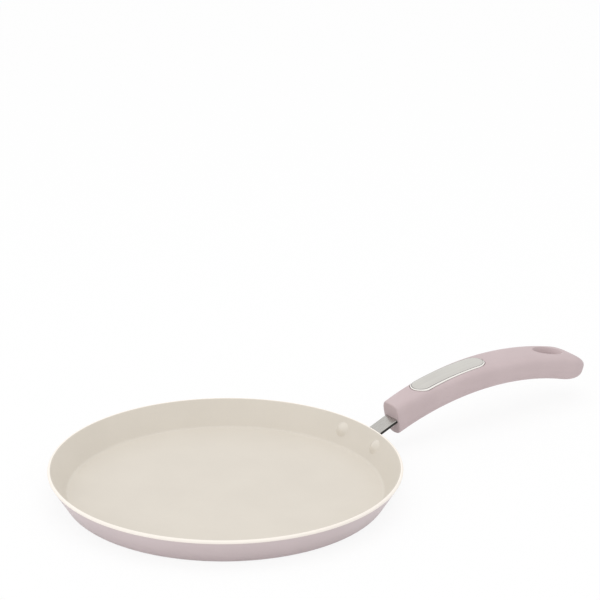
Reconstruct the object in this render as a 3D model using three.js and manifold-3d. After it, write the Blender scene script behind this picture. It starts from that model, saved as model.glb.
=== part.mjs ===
// A round griddle: a shallow crepe pan with a riveted steel bracket and a curved moulded handle.
// Millimetres, +Z up. The origin is the centre of the pan's underside and the handle points along +X.
import * as THREE from "three";
import { mergeVertices } from "three/addons/utils/BufferGeometryUtils.js";
import Module from "manifold-3d";

const wasm = await Module();
wasm.setup();

// Pan: one pressed sheet with a rounded edge, lined inside and enamelled outside
const RIM_DIAMETER = 250;
const PAN_HEIGHT = 21.6;
const WALL_THICKNESS = 2.6;
const BASE_THICKNESS = 3.5;
const WALL_LEAN_DEG = 32.2;
const FLOOR_FILLET = 3;
const FOOT_FILLET = 5;
const ENAMEL_START_DEG = 14;
const COAT_THICKNESS = 0.35;
const LIP_WRAP = 0.4;
const RING_COUNT = 4;
const RING_PITCH = 22;
const RING_WIDTH = 5;
const RING_DEPTH = 0.5;

// Rivets through the wall, one each side of the handle
const RIVET_SPACING = 39;
const RIVET_DROP = 8.6;
const RIVET_SHANK = 5;
const RIVET_HEAD = 11;
const RIVET_DOME = 2.3;
const RIVET_TAIL = 8;
const RIVET_TAIL_HEIGHT = 1.6;

// Bracket: stamped sheet, with a plate on the wall and a flat neck that runs into the grip
const BRACKET_SHEET = 2.6;
const PLATE_HEIGHT = 13;
const NECK_WIDTH = 13;
const NECK_RISE = -0.5;
const NECK_FLARE = 8;
const NECK_FLARE_LENGTH = 14;
const TONGUE_LENGTH = 34;

// Grip: an arched moulding, narrow and deep at the mouth, wide and flat towards the tip
const MOUTH_GAP = 21.5;
const GRIP_LENGTH = 178;
const GRIP_ARC_RADIUS = 233;
const GRIP_SLOPE_DEG = 21.3;
const MOUTH_WIDTH = 18;
const MIDDLE_WIDTH = 31;
const TIP_WIDTH = 34;
const MOUTH_DEPTH = 24;
const MIDDLE_DEPTH = 19.4;
const TIP_DEPTH = 21;
const TOP_SQUARENESS = 4;
const UNDER_SQUARENESS = 2.6;
const MOUTH_LEAN_DEG = 10;
const MOUTH_LEAN_LENGTH = 40;
const MOUTH_ROUND = 2;
const MOUTH_FACE = 0.9;
const TIP_ROUND = 22.5;
const HANG_FROM_TIP = 34;
const HANG_LENGTH = 25;
const HANG_WIDTH = 17;
const HANG_FLARE = 2.5;
const HANG_FLARE_DEPTH = 4;

// Inlay: a curved plate with bevelled edges, let into the top of the grip
const INLAY_START = 22.5;
const INLAY_LENGTH = 62;
const INLAY_WIDTH = 18;
const INLAY_DEPTH = 1.2;
const INLAY_PROUD = 0.6;
const INLAY_BEVEL = 0.5;

// Screw from below, through the grip into the tongue
const SCREW_FROM_MOUTH = 24;
const SCREW_SHANK = 5;
const SCREW_HEAD = 9;
const SCREW_HEAD_HEIGHT = 3;
const SCREW_RECESS = 1.4;

// Clearances: FIT between separate pieces, BOND under a coat, OVERCUT past the end of a cut
const FIT = 0.3;
const BOND = 0.03;
const OVERCUT = 5;

// Facets
const PAN_SEGMENTS = 56;
const ARC_STEPS = 5;
const ROUND_SEGMENTS = 20;
const GRIP_POINTS = 28;
const GRIP_STATIONS = 20;
const END_SWEEP_DEG = 80;

const { Vector2, Vector3 } = THREE;
const radians = THREE.MathUtils.degToRad;
const lerp = THREE.MathUtils.lerp;

// The numbers from a to b in equal steps, ends included.
function range(a, b, steps) {
  return Array.from({ length: steps + 1 }, (_, i) => lerp(a, b, i / steps));
}

// Points on an arc, ends included.
function arc(centre, radius, from, to, steps = ARC_STEPS) {
  return range(from, to, steps).map(
    (a) => new Vector2(centre.x + radius * Math.cos(a), centre.y + radius * Math.sin(a)),
  );
}

// A closed geometry as a solid, with shared corners merged and slivers at the poles dropped.
function toSolid(geometry) {
  const shell = geometry.clone();
  shell.deleteAttribute("normal");
  shell.deleteAttribute("uv");
  const merged = mergeVertices(shell);
  const corners = Array.from(merged.index.array);
  const kept = [];
  for (let i = 0; i < corners.length; i += 3) {
    const triangle = corners.slice(i, i + 3);
    if (new Set(triangle).size === 3) kept.push(...triangle);
  }
  return new wasm.Manifold(
    new wasm.Mesh({
      numProp: 3,
      vertProperties: merged.attributes.position.array,
      triVerts: new Uint32Array(kept),
    }),
  );
}

// A solid as a geometry again, flat shaded.
function toGeometry(solid) {
  const made = solid.getMesh();
  const geometry = new THREE.BufferGeometry();
  geometry.setAttribute("position", new THREE.BufferAttribute(made.vertProperties, 3));
  geometry.setIndex(new THREE.BufferAttribute(made.triVerts, 1));
  const flat = geometry.toNonIndexed();
  flat.computeVertexNormals();
  return flat;
}

// A profile of (radius, height) points revolved about +Z.
function revolve(profile, segments) {
  return toSolid(new THREE.LatheGeometry(profile, segments).rotateX(Math.PI / 2));
}

// A solid through matching outlines: each station holds an outline and a place for its points.
function loft(stations) {
  const count = stations[0].outline.length;
  const position = stations.flatMap(({ outline, place }) => outline.flatMap((p) => place(p).toArray()));
  const index = [];
  for (let s = 0; s + 1 < stations.length; s++) {
    for (let i = 0; i < count; i++) {
      const a = s * count + i;
      const b = s * count + ((i + 1) % count);
      index.push(a, b, b + count, a, b + count, a + count);
    }
  }
  const last = (stations.length - 1) * count;
  for (const [a, b, c] of THREE.ShapeUtils.triangulateShape(stations[0].outline, [])) index.push(a, c, b);
  for (const [a, b, c] of THREE.ShapeUtils.triangulateShape(stations.at(-1).outline, [])) {
    index.push(last + a, last + b, last + c);
  }
  const geometry = new THREE.BufferGeometry();
  geometry.setAttribute("position", new THREE.Float32BufferAttribute(position, 3));
  geometry.setIndex(index);
  return toSolid(geometry);
}

// The wall in the (radius, height) plane: its direction, its outward normal and its rounded edge.
const lean = radians(WALL_LEAN_DEG);
const wallUp = new Vector2(Math.sin(lean), Math.cos(lean));
const wallOut = new Vector2(Math.cos(lean), -Math.sin(lean));
const lipCentre = new Vector2(RIM_DIAMETER / 2 - WALL_THICKNESS / 2, PAN_HEIGHT - WALL_THICKNESS / 2);
const coreHalf = WALL_THICKNESS / 2 - COAT_THICKNESS;
const bondHalf = coreHalf + BOND;

// A point of the wall, by its distance down from the lip centre and out from the sheet's middle.
function wallPoint(down, out) {
  return lipCentre.clone().addScaledVector(wallUp, -down).addScaledVector(wallOut, out);
}

// The centre of the fillet between a floor and the wall surface at a distance out from the sheet's middle.
function filletCentre(out, floor, fillet) {
  const edge = wallPoint(0, out - fillet);
  return edge.addScaledVector(wallUp, -(edge.y - floor - fillet) / wallUp.y);
}

// A dish surface from its floor to the wall's top.
function dish(out, floor, fillet, start = -Math.PI / 2) {
  return [...arc(filletCentre(out, floor, fillet), fillet, start, -lean), wallPoint(0, out)];
}

// The rounded edge, from the wall's inner side over the top to its outer side.
function roundedEdge(radius) {
  return arc(lipCentre, radius, Math.PI - lean, -lean, ARC_STEPS + 1);
}

const footCentre = filletCentre(WALL_THICKNESS / 2, 0, FOOT_FILLET);
const enamelStart = -Math.PI / 2 + radians(ENAMEL_START_DEG);
const footRadius = footCentre.x + (FOOT_FILLET - COAT_THICKNESS) * Math.cos(enamelStart) - FIT;

// Where the rivets cross the wall, and their angles round the pan.
const rivetPoint = wallPoint(RIVET_DROP, 0);
const rivetAngle = Math.asin(RIVET_SPACING / 2 / rivetPoint.x);

// A frame on the wall at an angle round the pan: X along the wall, Y outward through it.
function wallPlace(angle) {
  const radial = new Vector3(Math.cos(angle), Math.sin(angle), 0);
  const lift = ({ x, y }) => radial.clone().multiplyScalar(x).setZ(y);
  return (p) => lift(wallPoint(RIVET_DROP - p.x, p.y));
}

// A turned piece on the rivet axis: profile heights run outward from the wall's middle.
function onRivetAxis(profile, angle) {
  const place = wallPlace(angle);
  const centre = place(new Vector2(0, 0));
  const out = place(new Vector2(0, 1)).sub(centre);
  const turn = new THREE.Quaternion().setFromUnitVectors(new Vector3(0, 1, 0), out);
  const turned = new THREE.LatheGeometry(profile, ROUND_SEGMENTS).applyQuaternion(turn);
  return toSolid(turned.translate(...centre.toArray()));
}

function rodProfile(radius, from, to) {
  return [new Vector2(0, from), new Vector2(radius, from), new Vector2(radius, to), new Vector2(0, to)];
}

const rivetAngles = { rivet_left: rivetAngle, rivet_right: -rivetAngle };
const plateInner = WALL_THICKNESS / 2 + FIT;
const plateOuter = plateInner + BRACKET_SHEET;

function cutRivetHoles(solid) {
  const reach = plateOuter + RIVET_TAIL_HEIGHT;
  const bore = rodProfile(RIVET_SHANK / 2 + FIT, -reach, reach);
  return Object.values(rivetAngles).reduce((left, angle) => left.subtract(onRivetAxis(bore, angle)), solid);
}

// Pressed aluminium core, with a turned base that carries shallow rings.
function panBody() {
  const inner = dish(-coreHalf, BASE_THICKNESS - COAT_THICKNESS, FLOOR_FILLET + COAT_THICKNESS);
  const outer = dish(coreHalf, COAT_THICKNESS, FOOT_FILLET - COAT_THICKNESS, enamelStart);
  const rings = [];
  for (let ring = RING_COUNT; ring >= 1; ring--) {
    const [near, far] = [ring * RING_PITCH - RING_WIDTH / 2, ring * RING_PITCH + RING_WIDTH / 2];
    rings.push(
      new Vector2(far, 0),
      new Vector2(far, RING_DEPTH),
      new Vector2(near, RING_DEPTH),
      new Vector2(near, 0),
    );
  }
  const profile = [
    new Vector2(0, inner[0].y),
    ...inner,
    ...roundedEdge(coreHalf).slice(1),
    ...outer.slice(0, -1).reverse(),
    new Vector2(footRadius, outer[0].y),
    new Vector2(footRadius, 0),
    ...rings,
    new Vector2(0, 0),
  ];
  return cutRivetHoles(revolve(profile.reverse(), PAN_SEGMENTS));
}

// Cooking surface: a coat over the floor, the wall and the rounded edge.
function ceramicLining() {
  const top = dish(-WALL_THICKNESS / 2, BASE_THICKNESS, FLOOR_FILLET);
  const under = dish(
    -bondHalf,
    BASE_THICKNESS - COAT_THICKNESS + BOND,
    FLOOR_FILLET + COAT_THICKNESS - BOND,
  );
  const profile = [
    new Vector2(0, top[0].y),
    ...top,
    ...roundedEdge(WALL_THICKNESS / 2).slice(1),
    wallPoint(LIP_WRAP, WALL_THICKNESS / 2),
    wallPoint(LIP_WRAP, bondHalf),
    ...roundedEdge(bondHalf).reverse().slice(0, -1),
    ...under.reverse(),
    new Vector2(0, under.at(-1).y),
  ];
  return cutRivetHoles(revolve(profile.reverse(), PAN_SEGMENTS));
}

// Coloured coat on the outside, from the foot to the lining's edge.
function outerEnamel() {
  const outer = dish(WALL_THICKNESS / 2, 0, FOOT_FILLET, enamelStart).slice(0, -1);
  const gap = COAT_THICKNESS - BOND;
  const under = dish(bondHalf, gap, FOOT_FILLET - gap, enamelStart).slice(0, -1);
  const end = LIP_WRAP + FIT;
  const profile = [
    ...outer,
    wallPoint(end, WALL_THICKNESS / 2),
    wallPoint(end, bondHalf),
    ...under.reverse(),
    outer[0],
  ];
  return cutRivetHoles(revolve(profile, PAN_SEGMENTS));
}

// A rivet with a domed head inside the pan and a flat upset tail on the bracket.
function rivet(angle) {
  const sag = (RIVET_HEAD * RIVET_HEAD) / 8 / (rivetPoint.x / Math.cos(lean));
  const headSeat = -(WALL_THICKNESS / 2 + FIT + sag);
  const tailSeat = plateOuter + FIT;
  const headRadius = RIVET_HEAD / 2;
  const domeRadius = (headRadius * headRadius + RIVET_DOME * RIVET_DOME) / 2 / RIVET_DOME;
  const domeCentre = new Vector2(0, headSeat - RIVET_DOME + domeRadius);
  const rim = -Math.PI / 2 + Math.asin(headRadius / domeRadius);
  const profile = [
    ...arc(domeCentre, domeRadius, -Math.PI / 2, rim),
    new Vector2(RIVET_SHANK / 2, headSeat),
    new Vector2(RIVET_SHANK / 2, tailSeat),
    new Vector2(RIVET_TAIL / 2, tailSeat),
    new Vector2(RIVET_TAIL / 2, tailSeat + RIVET_TAIL_HEIGHT / 2),
    new Vector2(RIVET_SHANK / 2, tailSeat + RIVET_TAIL_HEIGHT),
    new Vector2(0, tailSeat + RIVET_TAIL_HEIGHT),
  ];
  return onRivetAxis(profile, angle);
}

// The grip's centre line: straight before the mouth, then one arc that bends downwards.
const gripSlope = radians(GRIP_SLOPE_DEG);
const mouth = new Vector3(RIM_DIAMETER / 2 + MOUTH_GAP, 0, PAN_HEIGHT);

function gripFrame(s) {
  const slope = gripSlope - Math.max(s, 0) / GRIP_ARC_RADIUS;
  const before = Math.min(s, 0);
  const origin = new Vector3(
    mouth.x + before * Math.cos(gripSlope) + GRIP_ARC_RADIUS * (Math.sin(gripSlope) - Math.sin(slope)),
    0,
    mouth.z + before * Math.sin(gripSlope) + GRIP_ARC_RADIUS * (Math.cos(slope) - Math.cos(gripSlope)),
  );
  return { origin, along: new Vector3(Math.cos(slope), 0, Math.sin(slope)) };
}

// Places an outline across a line: X to the side along +Y, Y upwards.
function across({ origin, along }) {
  const side = new Vector3(0, 1, 0);
  const up = new Vector3().crossVectors(along, side);
  return (p) => origin.clone().addScaledVector(side, p.x).addScaledVector(up, p.y);
}

// A value that runs smoothly through its start, middle and end along the grip.
function throughThree(start, middle, end, share) {
  const rest = 1 - share;
  return start * rest * (rest - share) + 4 * middle * share * rest + end * share * (share - rest);
}

// Half width and half depth of the grip without its rounded ends.
function gripHalves(s) {
  const share = s / GRIP_LENGTH;
  return new Vector2(
    throughThree(MOUTH_WIDTH, MIDDLE_WIDTH, TIP_WIDTH, share) / 2,
    throughThree(MOUTH_DEPTH, MIDDLE_DEPTH, TIP_DEPTH, share) / 2,
  );
}

// The grip's section: a flat-topped round over its widest line and a fuller curve under it.
function gripOutline(halves) {
  return Array.from({ length: GRIP_POINTS }, (_, i) => {
    const angle = (2 * Math.PI * i) / GRIP_POINTS;
    const squareness = i < GRIP_POINTS / 2 ? TOP_SQUARENESS : UNDER_SQUARENESS;
    const bend = (v) => Math.sign(v) * Math.abs(v) ** (2 / squareness);
    return new Vector2(halves.x * bend(Math.cos(angle)), halves.y * bend(Math.sin(angle)));
  });
}

// Height of the grip's top surface at a distance to the side.
function crown(s, side) {
  const halves = gripHalves(s);
  return halves.y * (1 - Math.abs(side / halves.x) ** TOP_SQUARENESS) ** (1 / TOP_SQUARENESS);
}

// Places a section of the grip. Near the mouth they lean, which makes the mouth more upright.
function gripPlace(s) {
  const frame = gripFrame(s);
  const place = across(frame);
  const near = Math.max(0, 1 - s / MOUTH_LEAN_LENGTH);
  const shear = Math.tan(radians(MOUTH_LEAN_DEG)) * near * near;
  return (p) => place(p).addScaledVector(frame.along, shear * p.y);
}

// The grip's solid: sections along the arc, drawn in a little at the mouth and to a round nose at the tip.
function gripBlank() {
  const sections = [
    ...range(0, Math.PI / 2, ARC_STEPS).map((a) => ({
      s: MOUTH_ROUND * (1 - Math.cos(a)),
      grow: lerp(MOUTH_FACE, 1, Math.sin(a)),
    })),
    ...range(MOUTH_ROUND, GRIP_LENGTH - TIP_ROUND, GRIP_STATIONS)
      .slice(1)
      .map((s) => ({ s, grow: 1 })),
    ...range(0, radians(END_SWEEP_DEG), ARC_STEPS)
      .slice(1)
      .map((a) => ({ s: GRIP_LENGTH - TIP_ROUND * (1 - Math.sin(a)), grow: Math.cos(a) })),
  ];
  return loft(
    sections.map(({ s, grow }) => ({
      outline: gripOutline(gripHalves(s).multiplyScalar(grow)),
      place: gripPlace(s),
    })),
  );
}

// The neck runs straight on from the grip's mouth, down to the wall and up into the socket.
function straightFrame(s) {
  const { origin, along } = gripFrame(0);
  return { origin: origin.addScaledVector(along, s), along };
}

// The neck's flat section, grown all round by a clearance.
function neckOutline(halfWidth, grow = 0) {
  const half = BRACKET_SHEET / 2 + grow;
  return [
    new Vector2(-halfWidth - grow, NECK_RISE - half),
    new Vector2(halfWidth + grow, NECK_RISE - half),
    new Vector2(halfWidth + grow, NECK_RISE + half),
    new Vector2(-halfWidth - grow, NECK_RISE + half),
  ];
}

// The plate that lies on the wall, with an end round each rivet.
function bracketPlate() {
  const endRadius = PLATE_HEIGHT / 2;
  const straight = rivetAngle * rivetPoint.x;
  const end = range(0, radians(END_SWEEP_DEG), ARC_STEPS).map((a) => ({
    along: straight + endRadius * Math.sin(a),
    half: endRadius * Math.cos(a),
  }));
  const middle = range(-straight, straight, 2 * ARC_STEPS).slice(1, -1);
  const sections = [
    ...end.map(({ along, half }) => ({ along: -along, half })).reverse(),
    ...middle.map((along) => ({ along, half: endRadius })),
    ...end,
  ];
  return loft(
    sections.map(({ along, half }) => ({
      outline: [
        new Vector2(-half, plateInner),
        new Vector2(half, plateInner),
        new Vector2(half, plateOuter),
        new Vector2(-half, plateOuter),
      ],
      place: wallPlace(along / rivetPoint.x),
    })),
  );
}

// The flat neck, which flares where it meets the plate and ends as the tongue inside the grip.
function bracketNeck() {
  const run = new Vector2(Math.cos(gripSlope), Math.sin(gripSlope));
  const rise = new Vector2(-run.y, run.x).multiplyScalar(NECK_RISE);
  const reach = new Vector2(mouth.x, mouth.z).add(rise).sub(lipCentre).dot(wallOut) / run.dot(wallOut);
  const flareEnd = NECK_FLARE_LENGTH - reach;
  const stations = [...range(-reach - OVERCUT, flareEnd, 2 * ARC_STEPS), 0, TONGUE_LENGTH];
  const neck = loft(
    stations.map((s) => {
      const near = Math.max(0, flareEnd - s) / (NECK_FLARE_LENGTH + OVERCUT);
      return {
        outline: neckOutline(NECK_WIDTH / 2 + NECK_FLARE * near * near),
        place: across(straightFrame(s)),
      };
    }),
  );
  const trim = (plateInner + plateOuter) / 2;
  const top = wallPoint(-OVERCUT, trim);
  const pan = [new Vector2(0, 0), ...dish(trim, 0, FOOT_FILLET), top, new Vector2(0, top.y)];
  return neck.subtract(revolve(pan, PAN_SEGMENTS));
}

// A turned piece on the screw's axis: profile heights run upwards from the neck's centre line.
function onScrewAxis(profile) {
  const { origin, along } = straightFrame(SCREW_FROM_MOUTH);
  const up = new Vector3().crossVectors(along, new Vector3(0, 1, 0));
  const turn = new THREE.Quaternion().setFromUnitVectors(new Vector3(0, 1, 0), up);
  const turned = new THREE.LatheGeometry(profile, ROUND_SEGMENTS).applyQuaternion(turn);
  return toSolid(turned.translate(...origin.toArray()));
}

// Heights on the screw's axis: the grip's underside, the head's two faces and the tip.
const screwShare = SCREW_FROM_MOUTH / GRIP_ARC_RADIUS;
const underside = -gripHalves(SCREW_FROM_MOUTH).y - GRIP_ARC_RADIUS * (1 - Math.cos(screwShare));
const screwFace = underside + SCREW_RECESS;
const screwSeat = screwFace + SCREW_HEAD_HEIGHT;
const screwTip = NECK_RISE + BRACKET_SHEET / 2 - FIT;

function handleBracket() {
  const tapped = rodProfile(SCREW_SHANK / 2 + FIT, NECK_RISE - OVERCUT, NECK_RISE + OVERCUT);
  return cutRivetHoles(bracketPlate().add(bracketNeck())).subtract(onScrewAxis(tapped));
}

function handleScrew() {
  return onScrewAxis([
    new Vector2(0, screwFace),
    new Vector2(SCREW_HEAD / 2, screwFace),
    new Vector2(SCREW_HEAD / 2, screwSeat),
    new Vector2(SCREW_SHANK / 2, screwSeat),
    new Vector2(SCREW_SHANK / 2, screwTip),
    new Vector2(0, screwTip),
  ]);
}

// A band that follows the grip's crown: a round-ended strip between two heights over the surface.
function crownBand(grow, bottom, top, bevel) {
  const radius = INLAY_WIDTH / 2 + grow;
  const first = INLAY_START + INLAY_WIDTH / 2;
  const last = INLAY_START + INLAY_LENGTH - INLAY_WIDTH / 2;
  const end = range(0, radians(END_SWEEP_DEG), ARC_STEPS).map((a) => ({
    reach: radius * Math.sin(a),
    half: radius * Math.cos(a),
  }));
  const sections = [
    ...end.map(({ reach, half }) => ({ s: first - reach, half })).reverse(),
    ...range(first, last, 2 * ARC_STEPS).slice(1, -1).map((s) => ({ s, half: radius })),
    ...end.map(({ reach, half }) => ({ s: last + reach, half })),
  ];
  const strip = (s, half, lift) => range(-half, half, 4).map((x) => new Vector2(x, crown(s, x) + lift));
  return loft(
    sections.map(({ s, half }) => {
      const shoulder = crown(s, half) + top - bevel;
      const shoulders = bevel ? [new Vector2(half, shoulder), new Vector2(-half, shoulder)] : [];
      const upper = strip(s, half - bevel, top).reverse();
      return {
        outline: [...strip(s, half, bottom), ...shoulders.slice(0, 1), ...upper, ...shoulders.slice(1)],
        place: across(gripFrame(s)),
      };
    }),
  );
}

function handleInlay() {
  return crownBand(0, -INLAY_DEPTH, INLAY_PROUD, INLAY_BEVEL);
}

// The oval hanging hole, square to the grip, dished at both faces. Its length and width are at the faces.
function hangingHole() {
  const s = GRIP_LENGTH - HANG_FROM_TIP;
  const { origin, along } = gripFrame(s);
  const side = new Vector3(0, 1, 0);
  const up = new Vector3().crossVectors(along, side);
  const half = gripHalves(s).y;
  const oval = (a, grow) =>
    new Vector2((HANG_LENGTH / 2 + grow) * Math.cos(a), (HANG_WIDTH / 2 + grow) * Math.sin(a));
  const levels = [
    { height: -half - HANG_FLARE_DEPTH, grow: HANG_FLARE },
    { height: -half + HANG_FLARE_DEPTH, grow: -HANG_FLARE },
    { height: half - HANG_FLARE_DEPTH, grow: -HANG_FLARE },
    { height: half + HANG_FLARE_DEPTH, grow: HANG_FLARE },
  ];
  return loft(
    levels.map(({ height, grow }) => ({
      outline: range(0, 2 * Math.PI, ROUND_SEGMENTS).slice(1).map((a) => oval(a, grow)),
      place: (p) =>
        origin.clone().addScaledVector(along, p.x).addScaledVector(side, p.y).addScaledVector(up, height),
    })),
  );
}

// The socket that the tongue slides into.
function tongueSocket() {
  const outline = neckOutline(NECK_WIDTH / 2, FIT);
  const ends = [-OVERCUT, TONGUE_LENGTH + FIT];
  return loft(ends.map((s) => ({ outline, place: across(straightFrame(s)) })));
}

function handleGrip() {
  const shankBore = rodProfile(SCREW_SHANK / 2 + FIT, screwSeat, screwTip + FIT);
  const headBore = rodProfile(SCREW_HEAD / 2 + FIT, underside - OVERCUT, screwSeat + FIT);
  const cuts = [
    tongueSocket(),
    crownBand(FIT, -INLAY_DEPTH - FIT, OVERCUT, 0),
    hangingHole(),
    onScrewAxis(shankBore),
    onScrewAxis(headBore),
  ];
  return cuts.reduce((left, cut) => left.subtract(cut), gripBlank());
}

// Finishes
const aluminium = new THREE.MeshStandardMaterial({ color: 0xc6c6c4, roughness: 0.42, metalness: 1 });
const steel = new THREE.MeshStandardMaterial({ color: 0xc9c7c3, roughness: 0.28, metalness: 1 });
const ceramic = new THREE.MeshStandardMaterial({ color: 0xe8e1d6, roughness: 0.38, metalness: 0 });
const enamel = new THREE.MeshStandardMaterial({ color: 0xc3b1b2, roughness: 0.45, metalness: 0 });
const softTouch = new THREE.MeshStandardMaterial({ color: 0xc2b0b0, roughness: 0.62, metalness: 0 });

const pieces = [
  ["pan_body", panBody(), aluminium],
  ["ceramic_lining", ceramicLining(), ceramic],
  ["outer_enamel", outerEnamel(), enamel],
  ["handle_bracket", handleBracket(), steel],
  ...Object.entries(rivetAngles).map(([name, angle]) => [name, rivet(angle), ceramic]),
  ["handle_grip", handleGrip(), softTouch],
  ["handle_inlay", handleInlay(), steel],
  ["handle_screw", handleScrew(), steel],
];

const griddle = new THREE.Group();
griddle.name = "round_griddle";
for (const [name, solid, material] of pieces) {
  const mesh = new THREE.Mesh(toGeometry(solid), material);
  mesh.name = name;
  griddle.add(mesh);
}

export default griddle;
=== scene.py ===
# %% [markdown]
# # A round griddle
#
# This lesson dresses a small assembly: a shallow coated pan, a stamped steel bracket,
# two rivets and an arched soft-touch handle with a steel inlay. The frame holds every
# piece at its real size. Blender adds smooth surfaces and finishes, and moves nothing.

import bmesh
import bpy
import numpy as np
from mathutils import Matrix, Vector


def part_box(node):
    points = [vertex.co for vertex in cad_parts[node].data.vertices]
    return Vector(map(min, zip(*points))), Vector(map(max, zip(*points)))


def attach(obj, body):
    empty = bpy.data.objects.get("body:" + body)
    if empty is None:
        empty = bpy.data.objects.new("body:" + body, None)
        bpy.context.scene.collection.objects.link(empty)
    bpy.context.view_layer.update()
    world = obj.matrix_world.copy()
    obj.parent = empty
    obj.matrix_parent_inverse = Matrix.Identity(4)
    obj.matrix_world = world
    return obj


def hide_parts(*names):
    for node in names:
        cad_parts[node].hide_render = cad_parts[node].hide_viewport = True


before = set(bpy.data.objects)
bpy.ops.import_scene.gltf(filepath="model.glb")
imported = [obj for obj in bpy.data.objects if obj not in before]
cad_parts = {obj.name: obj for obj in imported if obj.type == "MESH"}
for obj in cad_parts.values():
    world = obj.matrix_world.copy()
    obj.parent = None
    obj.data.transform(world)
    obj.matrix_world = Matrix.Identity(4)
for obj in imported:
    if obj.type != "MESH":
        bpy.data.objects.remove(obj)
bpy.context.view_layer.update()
MM = 0.001
print("nodes:", sorted(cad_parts))

# %% [markdown]
# ## The camera
#
# A product shot like this is taken with a long lens from a few metres away, so the
# rim stays an almost true ellipse. The camera is placed by three facts: its distance,
# its tilt, and the pixel on which the middle of the pan's underside falls. Pushing the
# camera sideways in its own plane does the framing, so the lens needs no shift.

# %% Camera
IMAGE_SIDE = 600
SENSOR = 36.0
CAMERA_DISTANCE = 3.0
CAMERA_TILT = np.radians(21.58)
HANDLE_TURN = np.radians(36.0)
PIXELS_PER_UNIT = 4261.4
PAN_CENTRE_PIXEL = np.array([225.6, 494.6])
VIEW_DEPTH = 100.0


def camera_axes(tilt, turn):
    """Right, up and backward unit vectors of a camera that looks down by tilt and is turned about Z."""
    right = np.array([np.cos(turn), -np.sin(turn), 0.0])
    level = np.array([np.sin(turn), np.cos(turn), 0.0])
    forward = np.cos(tilt) * level - np.sin(tilt) * np.array([0.0, 0.0, 1.0])
    return right, np.cross(right, forward), -forward


def add_camera():
    """The camera stands so that the origin falls on the chosen pixel at the chosen depth."""
    right, up, back = camera_axes(CAMERA_TILT, HANDLE_TURN)
    across, down = (PAN_CENTRE_PIXEL - IMAGE_SIDE / 2) * CAMERA_DISTANCE / PIXELS_PER_UNIT
    place = CAMERA_DISTANCE * back - across * right + down * up
    camera = bpy.data.objects.new("camera", bpy.data.cameras.new("camera"))
    camera.data.sensor_width = SENSOR
    camera.data.lens = PIXELS_PER_UNIT * SENSOR / IMAGE_SIDE
    camera.data.clip_end = VIEW_DEPTH
    turned = np.eye(4)
    turned[:3] = np.column_stack([right, up, back, place])
    camera.matrix_world = Matrix(turned.tolist())
    bpy.context.collection.objects.link(camera)
    bpy.context.scene.camera = camera
    return camera


print("camera at", np.round(add_camera().matrix_world.translation, 3))

# %% [markdown]
# ## Grids and meshes
#
# Every new piece here is a grid of points: one direction runs along the piece, the
# other runs round it. Neighbouring points make quads. Where a row shrinks to one point,
# as on the axis of a turned piece, the doubles are merged and the quads become a fan.

# %% Mesh helpers
MERGE_DISTANCE = 1e-7
SMOOTH_ANGLE = np.radians(35.0)


def add_piece(name, points, **marks):
    """Quads between the neighbours of a (rows, columns, 3) array, closed round its columns.

    Each mark is an array of one number per point, kept on the mesh for the finish to read.
    """
    rows, columns = points.shape[:2]
    index = np.arange(rows * columns).reshape(rows, columns)
    index = np.hstack([index, index[:, :1]])
    corners = [index[:-1, :-1], index[:-1, 1:], index[1:, 1:], index[1:, :-1]]
    quads = np.stack(corners, axis=-1).reshape(-1, 4)
    mesh = bpy.data.meshes.new(name)
    mesh.from_pydata(points.reshape(-1, 3).tolist(), [], quads.tolist())
    for mark, values in marks.items():
        mesh.attributes.new(mark, "FLOAT", "POINT").data.foreach_set("value", values.ravel())
    work = bmesh.new()
    work.from_mesh(mesh)
    bmesh.ops.remove_doubles(work, verts=work.verts, dist=MERGE_DISTANCE)
    bmesh.ops.recalc_face_normals(work, faces=work.faces)
    work.to_mesh(mesh)
    work.free()
    piece = bpy.data.objects.new(name, mesh)
    bpy.context.collection.objects.link(piece)
    smooth(piece)
    return piece


def smooth(piece):
    """Shades smooth and keeps the edges that turn by more than the smoothing angle."""
    piece.data.shade_smooth()
    piece.data.set_sharp_from_angle(angle=SMOOTH_ANGLE)


def dress(piece, finish, slot, *nodes):
    """Fixes a finished piece to the object: its finish, body and the nodes that it stands for. The slot is
    not used.
    """
    piece.data.materials.clear()
    piece.data.materials.append(finish)
    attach(piece, "root")
    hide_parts(*nodes)
    print(piece.name, len(piece.data.polygons), "faces")


def capped(points):
    """Closes both ends of a loft: a row at each end, drawn together at the middle of the end section."""
    ends = points[[0, -1]].mean(axis=1, keepdims=True) * np.ones_like(points[[0, -1]])
    return np.concatenate([ends[:1], points, ends[1:]])


# %% [markdown]
# ## Shader maths
#
# A finish is a small graph of nodes. Writing it as Python expressions keeps it
# readable: a field wraps one output socket, and arithmetic on fields adds Math nodes.
# Numbers that are the same all over a surface stay plain numbers on the shader.

# %% Fields and graphs
class Field:
    """A value that changes over a surface: one output socket of a graph."""

    def __init__(self, graph, socket):
        self.graph = graph
        self.socket = socket

    def maths(self, operation, first, second):
        return self.graph.node("ShaderNodeMath", {"operation": operation}, {0: first, 1: second})

    def __add__(self, other):
        return self.maths("ADD", self, other)

    def __radd__(self, other):
        return self.maths("ADD", other, self)

    def __sub__(self, other):
        return self.maths("SUBTRACT", self, other)

    def __rsub__(self, other):
        return self.maths("SUBTRACT", other, self)

    def __mul__(self, other):
        return self.maths("MULTIPLY", self, other)

    def __rmul__(self, other):
        return self.maths("MULTIPLY", other, self)


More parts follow.
